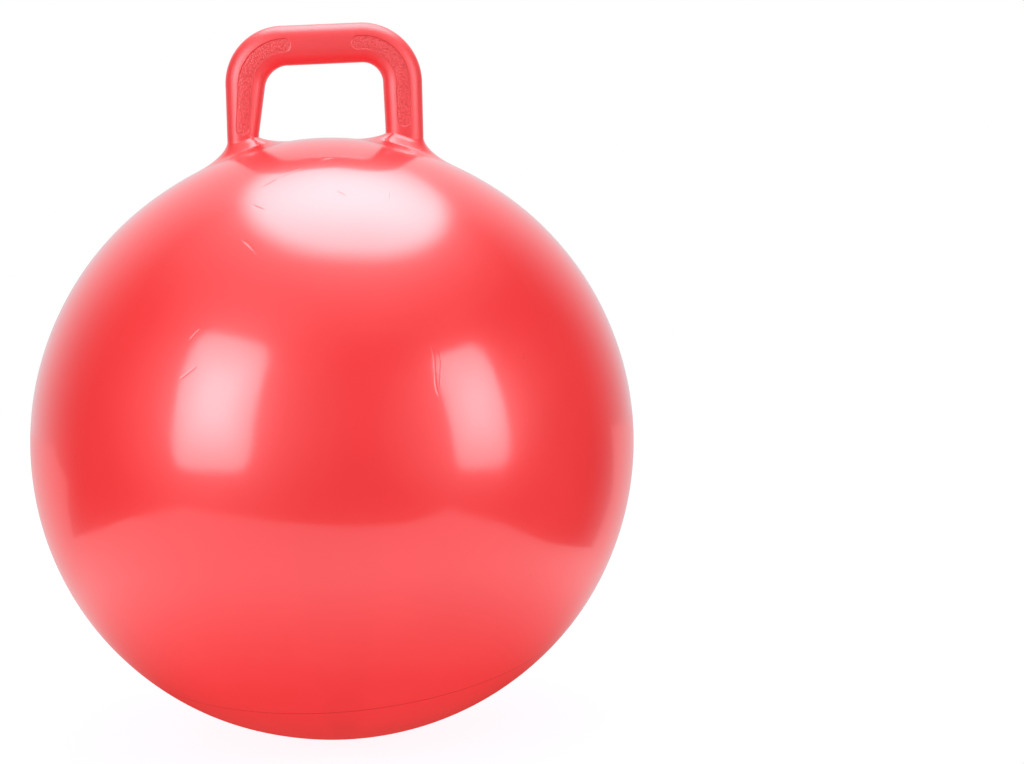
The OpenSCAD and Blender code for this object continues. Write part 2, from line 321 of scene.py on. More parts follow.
# %% Cross-section with grip panels
HALF_DEPTH, SQUARENESS = 15.5 * MM, 2.5
PANEL_R, PANEL_SINK, PANEL_STEP = 5.7 * MM, 0.9 * MM, 0.8 * MM
PANEL_END = {-1: -29.5 * MM, 1: 26 * MM}
FACING = 0.6  # a panel only sinks where the surface looks this much to the front or back
EDGE_STEPS = 30
IN_STEP = np.array([1.9, 1.4, 1.05, 0.85, 0.68, 0.5, 0.32, 0.15, -0.05])
half_face = np.concatenate([PANEL_R + PANEL_STEP * IN_STEP, np.linspace(PANEL_R - 0.5 * MM, 0, 11)])
FACE_PLACES = np.concatenate([half_face, -half_face[-2::-1]])


def power(value, exponent):
    """A power that keeps the sign of its base."""
    return np.sign(value) * np.abs(value) ** exponent


def section(half):
    """Points round the handle, from the outer side over the back, the inner side and the front.
    Each is a row of across, depth, and the same two for its normal."""
    on_face = np.arccos(power(FACE_PLACES / half, SQUARENESS / 2))
    on_edge = on_face[0] * np.linspace(-1, 1, EDGE_STEPS + 1)[1:-1]
    t = np.concatenate([on_edge, on_face, on_edge + np.pi, on_face + np.pi])
    c, s = power(np.cos(t), 2 / SQUARENESS), power(np.sin(t), 2 / SQUARENESS)
    normal = np.stack([power(c, SQUARENESS - 1) / half, power(s, SQUARENESS - 1) / HALF_DEPTH], -1)
    normal /= np.linalg.norm(normal, axis=-1, keepdims=True)
    return np.column_stack([half * c, HALF_DEPTH * s, normal])


def reach(side):
    """Where a side's panel starts and ends along the middle line."""
    on_bar = np.abs(stations[:, 2] - 90) < 0.5
    end = np.interp(PANEL_END[side], stations[on_bar, 0], along[on_bar])
    return (PANEL_STEP, end) if side < 0 else (end, along[-1] - PANEL_STEP)


def panel_share(place, points):
    """For each point of a section: 0 outside the panels, 1 on their floor."""
    deepest = np.zeros(len(points))
    for side in (-1, 1):
        start, end = reach(side)
        beyond = max(start + PANEL_R - place, 0) + max(place - end + PANEL_R, 0)
        inside = np.clip((PANEL_R + PANEL_STEP - np.hypot(beyond, points[:, 0])) / PANEL_STEP, 0, 1)
        deepest = np.maximum(deepest, inside * inside * (3 - 2 * inside))
    return deepest * (np.abs(points[:, 3]) > FACING)


def station_ring(station, place):
    """One ring of the handle with its panels pressed in."""
    points = section(station[3])
    across, depth = points[:, 0], points[:, 1]
    depth = depth - np.sign(depth) * PANEL_SINK * panel_share(place, points)
    out_x, out_z = math.cos(math.radians(station[2])), math.sin(math.radians(station[2]))
    return np.stack([station[0] + out_x * across, depth, station[1] + out_z * across], -1)


body_rings = np.array([station_ring(s, p) for s, p in zip(stations, along)])
print("points in a ring:", body_rings.shape[1])

# %% [markdown]
# ## The flared feet
# Each leg runs out on the ball in a flare. Towards the sides it is a quarter of an ellipse, which
# leaves the leg upright and meets the ball flat. At the front and back it is a narrow collar: a bevel
# round the leg, a steeper wall and a low toe. The bevel mirrors the light above as a bright crescent.
# The flare's rings start at the leg's lowest section. The last ring dips just under the skin.

# %% Foot rings
FLARE_OUT, FLARE_IN, FLARE_FRONT = (27 * MM, 15 * MM), (27 * MM, 9.5 * MM), (14 * MM, 10.8 * MM)
IN_ROUND, IN_FALL = 0.3, 1.5  # the inner flare's roundness, and how soon the rest of it falls
COLLAR_TILT = 0.14
COLLAR_SHARES = np.array([(0, 1), (0.19, 0.76), (0.5, 0.22), (1, 0)])
COLLAR_ROUND = 0.7 * MM
DIP = 0.02 * MM
BRIDGE, FOOT_STEPS = 4, 28
SOLE_SHARES = 0.02, 0.5
MOST_OF_SIDE = 0.45


def rounded(outline, radius, steps=4):
    """An open outline of pairs with its inner corners rounded, by no more than its sides allow."""
    result = [outline[0]]
    for before, corner, after in zip(outline, outline[1:], outline[2:]):
        a, b, c = (np.array(p, float) for p in (before, corner, after))
        to_a, to_c = a - b, c - b
        long_a, long_c = np.linalg.norm(to_a), np.linalg.norm(to_c)
        cut = min(radius, long_a * MOST_OF_SIDE, long_c * MOST_OF_SIDE)
        start, end = b + to_a / long_a * cut, b + to_c / long_c * cut
        for t in np.linspace(0, 1, steps + 1):
            result.append(tuple((1 - t) ** 2 * start + 2 * t * (1 - t) * b + t * t * end))
    return result + [outline[-1]]


collar = np.array(rounded(list(COLLAR_SHARES * FLARE_FRONT), COLLAR_ROUND, 8))
collar_run = np.concatenate([[0], np.cumsum(np.linalg.norm(np.diff(collar, axis=0), axis=1))])
collar_places = np.linspace(0, collar_run[-1], FOOT_STEPS + 1)
collar_off, collar_lift = (np.interp(collar_places, collar_run, collar[:, i]) for i in (0, 1))


def foot_ring(station, step):
    """The leg's section spread over the ball, from step 0, at the leg, to FOOT_STEPS, at the edge."""
    points = section(station[3])
    side = math.cos(math.radians(station[2]))
    share = points[:, 2] ** 2
    t = math.pi / 2 * step / FOOT_STEPS
    fall_out = 1 - math.sin(t)
    fall_in = IN_ROUND * fall_out + (1 - IN_ROUND) * max(math.cos(t), 0) ** IN_FALL
    is_out = points[:, 2] > 0
    side_off = np.where(is_out, FLARE_OUT[0], FLARE_IN[0]) * (1 - math.cos(t))
    side_lift = np.where(is_out, FLARE_OUT[1] * fall_out, FLARE_IN[1] * fall_in)
    off = collar_off[step] * (1 - share) + side_off * share
    tilted = collar_lift[step] * (1 - COLLAR_TILT * points[:, 0] / station[3])
    lift = tilted * (1 - share) + side_lift * share - DIP * math.sin(t) ** 4
    x = station[0] + side * (points[:, 0] + points[:, 2] * off)
    y = points[:, 1] + points[:, 3] * off
    return np.stack([x, y, skin_height(x, y) + lift], -1)


def foot_rings(station, leg_ring):
    """From the leg down to the flare's edge, and then a sole hidden in the skin's thickness."""
    flare = [foot_ring(station, step) for step in range(FOOT_STEPS + 1)]
    bridge = [leg_ring + (flare[0] - leg_ring) * i / (BRIDGE + 1) for i in range(1, BRIDGE + 1)]
    sole = []
    for share in SOLE_SHARES:
        x = flare[-1][:, 0] + (station[0] - flare[-1][:, 0]) * share
        y = flare[-1][:, 1] * (1 - share)
        sole.append(np.stack([x, y, skin_height(x, y) - SKIN_T / 2], -1))
    return np.array(bridge + flare + sole)


def sole_middle(station):
    """The point that closes a foot's sole."""
    return np.array([[station[0], 0, float(skin_height(station[0], np.float64(0))) - SKIN_T / 2]])


left_foot = foot_rings(stations[0], body_rings[0])
right_foot = foot_rings(stations[-1], body_rings[-1])
handle_rings = np.concatenate([left_foot[::-1], body_rings, right_foot])
handle = mesh_from_rings(
    "handle_vinyl", handle_rings, first_tip=sole_middle(stations[0]), last_tip=sole_middle(stations[-1])
)
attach(handle, "ball")
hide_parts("handle")

# %% [markdown]
# ## Feet that melt into the ball
# On the real ball nothing shows where a foot ends, because skin and handle are welded in the mould.
# Two meshes that meet always show a faint line, since light falls on them at slightly different
# angles. The shading normals of the flare's edge are therefore mixed with those of the skin under it.

# %% Blend the normals of the flares
SLOPE_STEP = 0.4 * MM


def skin_normals(x, y):
    """Normals of the skin over points of the floor plan, from small steps to each side."""
    step = SLOPE_STEP
    slope_x = (skin_height(x + step, y) - skin_height(x - step, y)) / (2 * step)
    slope_y = (skin_height(x, y + step) - skin_height(x, y - step)) / (2 * step)
    normals = np.stack([-slope_x, -slope_y, np.ones_like(x)], -1)
    return normals / np.linalg.norm(normals, axis=-1, keepdims=True)


around = body_rings.shape[1]
own = np.empty(len(handle.data.vertices) * 3, np.float32)
handle.data.vertices.foreach_get("normal", own)
own = own.reshape(-1, 3).astype(float)
blended = 0
right_first = len(handle_rings) - len(right_foot)
for foot, first, order in ((left_foot, 0, -1), (right_foot, right_first, 1)):
    for i in range(BRIDGE + FOOT_STEPS // 2, len(foot)):
        ring_no = first + (len(foot) - 1 - i if order < 0 else i)
        share = min((i - BRIDGE) * 2 / FOOT_STEPS - 1, 1) ** 2
        rows = slice(ring_no * around, (ring_no + 1) * around)
        mixed = own[rows] * (1 - share) + skin_normals(foot[i][:, 0], foot[i][:, 1]) * share
        own[rows] = mixed / np.linalg.norm(mixed, axis=1, keepdims=True)
        blended += around
handle.data.normals_split_custom_set_from_vertices(own.tolist())
print("normals blended at", blended, "points")

# %% [markdown]
# ## The valve
# The ball is blown up through a thick ring that is welded into the skin behind the handle, and a
# white stopper is pushed into it. Both are turned shapes, so each is an outline of radius and height
# spun about the valve's axis. Small arcs round every edge that a mould would round, because sharp
# edges catch no light.

# %% Turned shapes
ON_AXIS = 1e-6
SHARP_ANGLE = math.radians(40)
valve_turn = Matrix.Rotation(math.radians(-VALVE_ANGLE), 4, "X")
valve_foot = Vector(VALVE_DIR) * float(outline_r(VALVE_ANGLE)) + Vector((0, 0, MIDDLE_Z))
valve_place = Matrix.Translation(valve_foot) @ valve_turn


def turned(name, outline, closed_ring=False, count=96):
    """Spins an outline about the valve's axis. An end on the axis becomes a tip."""
    a = np.linspace(0, 2 * np.pi, count, endpoint=False)
    rings = [
        np.stack([r * np.cos(a), r * np.sin(a), np.full(count, h)], -1)
        for r, h in outline if r > ON_AXIS
    ]
    if closed_ring:
        rings.append(rings[0])
    ends = outline[0], outline[-1]
    tips = [np.array([[0, 0, h]]) * MM if r <= ON_AXIS else None for r, h in ends]
    obj = mesh_from_rings(name, np.array(rings) * MM, *tips)
    obj.data.transform(valve_place)
    obj.data.set_sharp_from_angle(angle=SHARP_ANGLE)
    return obj


# %% [markdown]
# The seat has a raised ring outside, a neck through the skin, a flange under it, and a long boss
# whose bore grips the plug. The ring's foot is feathered onto the skin, like the weld it is.

# %% Valve seat
RING_R, RING_H, FLANGE_R, BOSS, BORE_R = 12.5, 1.4, 15, 14, 4.5
HEAD_R, HEAD_T, RECESS, STEM = 7.2, 2.2, 1.2, 15
PLAY, FEATHER, UNDER_SKIN, FLANGE_LOW = 0.3, 1.4, 1.2, 3.7
neck_r = NECK_R / MM
ball_r = BALL_R / MM


def sag(r):
    """How far the ball falls away, in mm, at a distance r from the valve's axis."""
    return ball_r - math.sqrt(ball_r**2 - r**2)


seat_outline = [
    (BORE_R, -BOSS), (BORE_R, RING_H - RECESS),
    (HEAD_R + PLAY, RING_H - RECESS), (HEAD_R + PLAY, RING_H),
    (RING_R, RING_H), (RING_R + 0.1, 0.5), (RING_R + FEATHER, -sag(RING_R + FEATHER) - 0.02),
    (neck_r - PLAY, -0.3), (neck_r - PLAY, -UNDER_SKIN),
    (FLANGE_R, -UNDER_SKIN - sag(FLANGE_R)), (FLANGE_R, -FLANGE_LOW),
    (neck_r, -FLANGE_LOW), (neck_r, -BOSS),
]
seat = turned("valve_seat_ring", rounded(seat_outline, 0.5), closed_ring=True)
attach(seat, "ball")
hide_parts("valve_seat")

# %% [markdown]
# The plug is a flat head, thin enough to leave a nail's hold under its rim, on a stem with three
# grooves. A shallow dimple marks where the plastic was let into its mould.

# %% Valve plug
STEM_R, SEAT_Z, GROOVE_W, GROOVE_H = BORE_R - 0.05, RING_H - RECESS + 0.05, 1.2, 0.5
DIMPLE_R, DIMPLE_FLOOR_R, DIMPLE_EDGE, DIMPLE_MIDDLE = 3.1, 2.3, 0.45, 0.5
tip_z, top_z = SEAT_Z - STEM, SEAT_Z + HEAD_T
plug_outline = [(0, tip_z), (STEM_R - 1, tip_z), (STEM_R, tip_z + 1)]
for i in (1, 2, 3):
    low = tip_z + STEM / 4 * i - GROOVE_W / 2
    floor_r, high = STEM_R - GROOVE_H, low + GROOVE_W
    plug_outline += [(STEM_R, low), (floor_r, low + 0.1), (floor_r, high - 0.1), (STEM_R, high)]
plug_outline += [
    (STEM_R, SEAT_Z), (HEAD_R, SEAT_Z), (HEAD_R, top_z), (DIMPLE_R, top_z),
    (DIMPLE_FLOOR_R, top_z - DIMPLE_EDGE), (0, top_z - DIMPLE_MIDDLE),
]
plug = turned("valve_plug_stopper", rounded(plug_outline, 0.45))
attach(plug, "plug")
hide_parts("valve_plug")

# %% [markdown]
# ## Writing shader maths
# A procedural finish is a small formula. Clicking Math nodes together hides the formula, so a thin
# wrapper lets Python write it: a sum of two sockets adds an Add node. Everything that isn't plain
# maths comes from one method, `node`, which sets a node's settings first and then its sockets.


# %% Socket wrapper
class Value:
    """A shader socket that can be added, multiplied and so on, which adds the Math nodes for it."""

    def __init__(self, tree, socket):
        self.tree, self.socket = tree, socket

    def node(self, kind, settings=None, sockets=None, out=0):
        """Adds a node, gives it settings, then values or links, and returns one of its outputs."""
        new = self.tree.nodes.new(kind)
        for name, setting in (settings or {}).items():
            setattr(new, name, setting)
        for name, given in (sockets or {}).items():
            if isinstance(given, Value):
                self.tree.links.new(given.socket, new.inputs[name])
            else:
                new.inputs[name].default_value = given
        return Value(self.tree, new.outputs[out]) if new.outputs else None

    def math(self, operation, first, second=0.5):
        return self.node("ShaderNodeMath", {"operation": operation}, {0: first, 1: second})

    def vector(self, operation, other, out=0):
        return self.node("ShaderNodeVectorMath", {"operation": operation}, {0: self, 1: other}, out)

    def __add__(self, other):
        return self.math("ADD", self, other)

    def __sub__(self, other):
        return self.math("SUBTRACT", self, other)

    def __rsub__(self, other):
        return self.math("SUBTRACT", other, self)

    def __mul__(self, other):
        return self.math("MULTIPLY", self, other)

    def __truediv__(self, other):
        return self.math("DIVIDE", self, other)

    __radd__, __rmul__ = __add__, __mul__

    def ramp(self, low, high, to_low=0.0, to_high=1.0):
        """Runs smoothly from to_low, below low, to to_high, above high."""
        ends = {"From Min": low, "From Max": high, "To Min": to_low, "To Max": to_high}
        smooth = {"interpolation_type": "SMOOTHSTEP"}
        return self.node("ShaderNodeMapRange", smooth, {"Value": self, **ends})

    def length(self):
        """Length of a vector."""
        return self.node("ShaderNodeVectorMath", {"operation": "LENGTH"}, {0: self}, 1)

    def unit(self):
        """A vector's direction, with a length of 1."""
        return self.node("ShaderNodeVectorMath", {"operation": "NORMALIZE"}, {0: self})

    def part(self, axis):
        """X, Y or Z of a vector."""
        return self.node("ShaderNodeSeparateXYZ", sockets={"Vector": self}, out=axis)

    def mix(self, first, second):
        """A colour from first, where this is 0, to second, where it is 1."""
        colours = {"Factor": self, 6: first, 7: second}
        return self.node("ShaderNodeMix", {"data_type": "RGBA"}, colours, 2)


def tree_of(owner):
    """Clears the nodes of a material or world and returns a wrapper to start from."""
    owner.use_nodes = True
    owner.node_tree.nodes.clear()
    return Value(owner.node_tree, None)


def scaled(start, vector, factor):
    """A vector times a number, where either may be a socket."""
    return start.node("ShaderNodeVectorMath", {"operation": "SCALE"}, {0: vector, "Scale": factor})


def noise(start, place, scale, detail, out=0):
    """Noise with waves of about 1 / scale metres. As out, Color gives three numbers at a time."""
    sockets = {"Vector": place, "Scale": scale, "Detail": detail}
    return start.node("ShaderNodeTexNoise", sockets=sockets, out=out)


print("socket wrapper ready")

# %% [markdown]
# ## Red vinyl
# The vinyl is coloured all through and leaves a polished mould, so it is smooth, glossy and plainly
# red. Its gloss has two layers: a sharp one, and a rougher film over it, which gives the soft glow
# round each mirrored light. Three things keep it from looking like paint: a very slight cloudiness of
# the colour, a roughness that changes from place to place, and a faint orange peel. The heights of
# all fine features are summed in metres and given to one Bump node.
#
# The mould's halves met in a ring low on the ball, which is left as a fine bead. A ring on a ball is
# easy to write: it is where the direction from the middle keeps one angle to the ring's axis. The
# ball was folded flat before it was blown up, and a few creases stayed. Each one is a short segment
# that goes in or stands out a little, bent by noise so that it isn't ruled straight.

# %% Marks on the skin
MOULD_TILT_RIGHT, MOULD_TILT_BACK = 4, 11  # how the axis of the mould's ring leans, in degrees
MOULD_RING_ANGLE = 51  # from that axis to the ring
CREASES = [
    # from azimuth and height, to azimuth and height, in degrees on the ball; width and depth in mm
    (-28.6, 18.4, -25.4, 21.2, 1.6, 0.22), (-28.0, 25.5, -26.3, 27.4, 1.3, 0.16),
    (18.9, 23.5, 18.7, 19.0, 1.3, 0.18), (18.7, 19.0, 18.8, 14.6, 1.3, 0.18),
    (20.2, 22.4, 19.4, 15.8, 1.1, -0.11), (-18.8, 63.8, -11.5, 66.4, 1.3, 0.32),
    (-23.7, 60.0, -19.6, 63.3, 1.5, -0.26), (-22.3, 46.2, -17.6, 43.1, 2.2, 0.22),
    (-24.0, 54.6, -18.6, 52.9, 1.8, 0.18), (-2.1, 70.0, 4.6, 71.2, 1.6, 0.37),
    (20.9, 57.9, 19.6, 55.0, 1.0, 0.22), (2.8, 59.0, 6.4, 56.4, 1.1, 0.27),
]
SPECKS = [(-53.0, 3.5), (38.0, 19.8), (38.7, -19.5), (-17.8, 42.4)]


def on_unit(azimuth, height):
    """The direction at an azimuth, 0 at the front and plus to the right, and a height, in degrees."""
    a, h = math.radians(azimuth), math.radians(height)
    return math.cos(h) * math.sin(a), -math.cos(h) * math.cos(a), math.sin(h)


def on_ball(azimuth, height):
    """The point of the round ball in that direction."""
    return tuple(BALL_R * part for part in on_unit(azimuth, height))


def crease_height(place, start, end, width, depth):
    """Height of a pressed crease: a segment between two points, with soft sides and pointed ends."""
    a, b = Vector(start), Vector(end)
    line = b - a
    from_a = place.vector("SUBTRACT", a)
    along_line = from_a.vector("DOT_PRODUCT", line / line.length_squared, 1)
    share = place.node("ShaderNodeClamp", sockets={"Value": along_line})
    apart = from_a.vector("SUBTRACT", scaled(share, line, share)).length()
    return apart.ramp(0, width * MM, -depth * MM, 0) * (share * (1 - share) * 4)


def ring_distance(place, middle_dir, angle):
    """Distance, along the skin, from a ring that keeps one angle to a direction."""
    cosine = place.unit().vector("DOT_PRODUCT", middle_dir, 1)
    turned_by = cosine.math("ARCCOSINE", cosine)
    return turned_by.math("ABSOLUTE", turned_by - math.radians(angle)) * BALL_R


print(len(CREASES), "creases and", len(SPECKS), "specks")

# %% Vinyl material
SKIN_REDS = (0.9, 0.032, 0.036, 1), (0.87, 0.028, 0.032, 1)
# The handle's reds are the skin's reds painted a little darker, as shade.
HANDLE_SHADED_REDS = (0.84, 0.03, 0.036, 1), (0.81, 0.026, 0.032, 1)
DARK_RED = (0.42, 0.008, 0.012, 1)
VINYL_IOR = 1.5
SKIN_PEEL = 0.035 * MM
SMOOTHER, ROUGHER = 0.02, 0.04  # how far rubbing moves the roughness


def vinyl(name, marks=None, reds=SKIN_REDS, roughness=0.105, haze=0.3, film=1.0, peel=SKIN_PEEL):
    """Glossy red vinyl. marks(place), if given, returns a height in metres and a share of darkening."""
    material = bpy.data.materials.new(name)
    start = tree_of(material)
    place = start.node("ShaderNodeTexCoord", out="Object")
    clouds, rubbed = noise(start, place, 9.0, 2.0), noise(start, place, 26.0, 3.0)
    height = noise(start, place, 95.0, 2.0) * peel
    colour = clouds.ramp(0.3, 0.7).mix(reds[1], reds[0])
    if marks:
        more, dark = marks(place)
        height = height + more
        colour = dark.mix(colour, DARK_RED)
    bump = start.node("ShaderNodeBump", sockets={"Height": height, "Distance": 1.0, "Strength": 1.0})
    shader = start.node("ShaderNodeBsdfPrincipled", sockets={
        "Base Color": colour,
        "Roughness": rubbed.ramp(0.3, 0.75, roughness - SMOOTHER, roughness + ROUGHER),
        "IOR": VINYL_IOR,
        "Coat Weight": film,
        "Coat Roughness": haze,
        "Coat IOR": VINYL_IOR,
        "Normal": bump,
    })
    start.node("ShaderNodeOutputMaterial", sockets={"Surface": shader})
    print(f"{name}: {len(material.node_tree.nodes)} nodes")
    return material


# %% Skin and valve seat finishes
BEAD_W, BEAD_H, BEAD_DARK = 0.9 * MM, 0.22 * MM, 0.75
SPECK_H, SPECK_DARK = 0.12 * MM, 0.5
WANDER = 6 * MM


def on_round_ball(point):
    """The point of the round ball in a point's direction, because the real skin swells past it."""
    return scaled(point, point.unit(), BALL_R)


def skin_marks(place):
    """The mould's ring, a few creases from folding, and specks."""
    off_middle = place.vector("SUBTRACT", (0, 0, MIDDLE_Z))
    bend = noise(place, place, 45.0, 1.0, "Color").vector("SUBTRACT", (0.5, 0.5, 0.5))
    bent = off_middle.vector("ADD", bend.vector("MULTIPLY", (WANDER, WANDER, WANDER)))
    from_middle, wandering = on_round_ball(off_middle), on_round_ball(bent)
    right, tilt = (math.sin(math.radians(a)) for a in (MOULD_TILT_RIGHT, MOULD_TILT_BACK))
    ring_axis = (right, tilt, -math.sqrt(1 - right**2 - tilt**2))
    ring = ring_distance(from_middle, ring_axis, MOULD_RING_ANGLE)
    height = ring.ramp(0, BEAD_W, BEAD_H, 0)
    dark = ring.ramp(0.2 * MM, 0.8 * MM, BEAD_DARK, 0)
    for az_a, h_a, az_b, h_b, width, depth in CREASES:
        ends = on_ball(az_a, h_a), on_ball(az_b, h_b)
        height = height + crease_height(wandering, *ends, width, depth)
    for azimuth, up in SPECKS:
        apart = from_middle.vector("DISTANCE", on_ball(azimuth, up), 1)
        height = height + apart.ramp(0.3 * MM, 1.1 * MM, SPECK_H, 0)
        dark = dark + apart.ramp(0.3 * MM, 0.9 * MM, SPECK_DARK, 0)
    return height, dark


skin.data.materials.append(vinyl("red_vinyl_skin", skin_marks))
seat.data.materials.append(vinyl("red_vinyl_valve", roughness=0.18, haze=0.42))

# %% [markdown]
# ## The handle's finishes
# The handle has the same vinyl with a duller surface and its red painted a little darker as shade, and
# a faint line down its middle plane where its mould parted. The panels' floors are stippled so that
# small hands don't slip: an uneven pebble grain nearly two millimetres wide, with painted shade in the
# gaps. It is a Voronoi pattern, bent by noise so that no two pebbles match. The flared feet belong to
# the ball's skin and are almost as glossy as it is.

# %% Handle, grip and foot finishes
PARTING_H, PARTING_DARK, STEP_SHADE_DARK = 0.12 * MM, 0.25, 0.4
PEBBLES_PER_M, PEBBLE_H, GAP_SHADE_DARK, PEBBLE_BEND = 540.0, 0.3 * MM, 0.42, 0.9 * MM


def handle_parting_and_step_shade(place):
    """A fine raised line between the front and back halves, and painted shade in the panels' steps."""
    depth = place.part("Y")
    off = depth.math("ABSOLUTE", depth)
    step = place.node("ShaderNodeAttribute", {"attribute_name": "panel_step"}, out="Fac")
    # Painted shade: the panels' steps are darkened.
    dark = off.ramp(0.1 * MM, 0.5 * MM, PARTING_DARK, 0) + step * STEP_SHADE_DARK
    return off.ramp(0.1 * MM, 0.6 * MM, PARTING_H, 0), dark


def stipple_and_gap_shade(place):
    """Raised pebbles of uneven size, with painted shade in the gaps between them."""
    bend = noise(place, place, 420.0, 2.0, "Color")
    bent = place.vector("ADD", scaled(place, bend, PEBBLE_BEND))
    pebbles = place.node("ShaderNodeTexVoronoi", sockets={"Vector": bent, "Scale": PEBBLES_PER_M})
    # The gaps between the pebbles get painted shade.
    return pebbles.ramp(0.15, 0.75, PEBBLE_H, 0), pebbles.ramp(0.45, 0.9, 0, GAP_SHADE_DARK)


HANDLE_LOOK = {"reds": HANDLE_SHADED_REDS, "film": 0.6, "peel": 0.01 * MM}
for finish in (
    vinyl("red_vinyl_handle", handle_parting_and_step_shade, roughness=0.36, haze=0.46, **HANDLE_LOOK),
    vinyl("red_vinyl_grip", stipple_and_gap_shade, roughness=0.38, haze=0.48, **HANDLE_LOOK),
    vinyl("red_vinyl_foot", roughness=0.19, haze=0.36),
):
    handle.data.materials.append(finish)

# %% [markdown]
# A mesh says for each face which of its materials it wears. The panels' floors get the grip, the
# flares get the foot's finish, and the rest keeps the handle's own. The steps of the panels are
# written on the points as an attribute, which the handle's finish reads to paint shade into them.

# %% Faces that wear each finish
HANDLE_NO, GRIP_NO, FOOT_NO = 0, 1, 2
ON_FLOOR = 0.98
first_face = len(left_foot) * around
shares = np.array([panel_share(p, section(s[3])) for s, p in zip(stations, along)])
step_shade_by_point = np.zeros(len(handle.data.vertices), np.float32)
# Painted shade for the panels' steps, strongest halfway down each step.
step_shade_by_point[first_face:first_face + shares.size] = (4 * shares * (1 - shares)).ravel()
handle.data.attributes.new("panel_step", "FLOAT", "POINT").data.foreach_set("value", step_shade_by_point)
deep = shares > ON_FLOOR
next_deep = np.roll(deep, -1, 1)
on_floor = deep[:-1] & deep[1:] & next_deep[:-1] & next_deep[1:]
finish_no = np.full(len(handle.data.polygons), HANDLE_NO, np.int32)
finish_no[first_face:first_face + on_floor.size] = np.where(on_floor.ravel(), GRIP_NO, HANDLE_NO)
flare_faces = (len(left_foot) - BRIDGE - 1) * around
sole_faces = 2 * around
finish_no[:flare_faces] = finish_no[-flare_faces - sole_faces:] = FOOT_NO
handle.data.polygons.foreach_set("material_index", finish_no)
print("stippled faces:", (finish_no == GRIP_NO).sum())
print("faces of the feet:", (finish_no == FOOT_NO).sum())

# %% [markdown]
# ## Plug plastic
# The stopper is a harder, paler plastic, almost white and satin. It picks up a little grime in use,
# which a slow noise gives it.

# %% Plug material
CLEAN_WHITE, GRIMY_WHITE = (0.86, 0.85, 0.81, 1), (0.78, 0.765, 0.72, 1)
CLEAN_ROUGHNESS, GRIMY_ROUGHNESS = 0.32, 0.44
GRAIN_H = 0.02 * MM

plug_finish = bpy.data.materials.new("white_plug_plastic")
start = tree_of(plug_finish)
place = start.node("ShaderNodeTexCoord", out="Object")
grime, grain = noise(start, place, 260.0, 4.0), noise(start, place, 1400.0, 2.0)
bump = start.node("ShaderNodeBump", sockets={"Height": grain * GRAIN_H, "Distance": 1.0})
shader = start.node("ShaderNodeBsdfPrincipled", sockets={
    "Base Color": grime.ramp(0.35, 0.7).mix(CLEAN_WHITE, GRIMY_WHITE),
    "Roughness": grime.ramp(0.3, 0.7, CLEAN_ROUGHNESS, GRIMY_ROUGHNESS),
    "Normal": bump,
})
start.node("ShaderNodeOutputMaterial", sockets={"Surface": shader})
plug.data.materials.append(plug_finish)
print(f"{plug_finish.name}: {len(plug_finish.node_tree.nodes)} nodes")

# %% [markdown]
# ## The floor
# The ball stands on a white table that ends about 0.8 m in front of it and 0.6 m to its right, and
# widens behind it. Its edge matters, although the camera can't tell it from the white behind: the
# ball mirrors it as the line where the pale lower half ends. What the camera sees of the floor is
# mostly a glow of its own, so that it reads as white and keeps a soft shadow. Mirror rays get painted
# light of their own: a white glow further out, and a painted red shadow close to the ball and behind
# it, which stands in for the ball's shadow and the red that the ball throws on the table there.

# %% White table
TABLE = [
    (-0.90, -0.30), (-0.92, -0.74), (-0.50, -0.87), (-0.16, -0.86), (0.07, -0.83), (0.30, -0.78),
    (0.60, -0.80), (0.62, -0.44), (0.56, -0.19), (0.56, -0.02), (0.55, 0.14), (0.68, 0.27),
    (0.90, 0.50), (3.4, 2.4), (-3.4, 2.4), (-1.6, 0.57), (-0.71, 0.20), (-0.74, 0.13), (-0.89, -0.24),
]
TABLE_Z = -0.0002  # a hair under the ball, so that their faces never share a plane

table_mesh = bpy.data.meshes.new("studio_table")
table_mesh.from_pydata([(x, y, TABLE_Z) for x, y in TABLE], [], [list(range(len(TABLE)))])
table = bpy.data.objects.new("studio_table", table_mesh)
bpy.context.scene.collection.objects.link(table)
table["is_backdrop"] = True
print("table corners:", len(TABLE))

# %% Finish of the table
TABLE_WHITE, TABLE_GLOW, GLOW_LEVEL = (0.9, 0.9, 0.9, 1), (1, 0.97, 1, 1), 1.12
PAINTED_SHADOW_RED, PAINTED_SHADOW_LEVEL = (1, 0.08, 0.07, 1), 0.7
CAMERA_SHARE = 0.82  # the rest of what the camera sees is lit, and keeps the shadow
NEAR_M, FAR_M = 0.17, 0.5  # the painted red shadow ends between these distances from the ball's foot
BEHIND_SHARE = 0.52  # what is left of the white behind the ball, where the painted red shadow takes the rest


def seen_by(start, *rays):
    """1 for the named kinds of ray, such as Is Camera Ray, and 0 for the others."""
    path = start.node("ShaderNodeLightPath", out=rays[0])
    result = path
    for ray in rays[1:]:
        result = result.math("MAXIMUM", result, Value(result.tree, path.socket.node.outputs[ray]))
    return result


def mixed_by(share, first, second):
    """The first shader where share is 0, and the second where it is 1."""
    return share.node("ShaderNodeMixShader", sockets={0: share, 1: first, 2: second})


def glowing(start, colour, level):
    """A shader that gives light."""
    return start.node("ShaderNodeEmission", sockets={"Color": colour, "Strength": level})


table_finish = bpy.data.materials.new("white_table")
start = tree_of(table_finish)
matte = start.node("ShaderNodeBsdfDiffuse", sockets={"Color": TABLE_WHITE})
glow = glowing(start, TABLE_GLOW, GLOW_LEVEL)
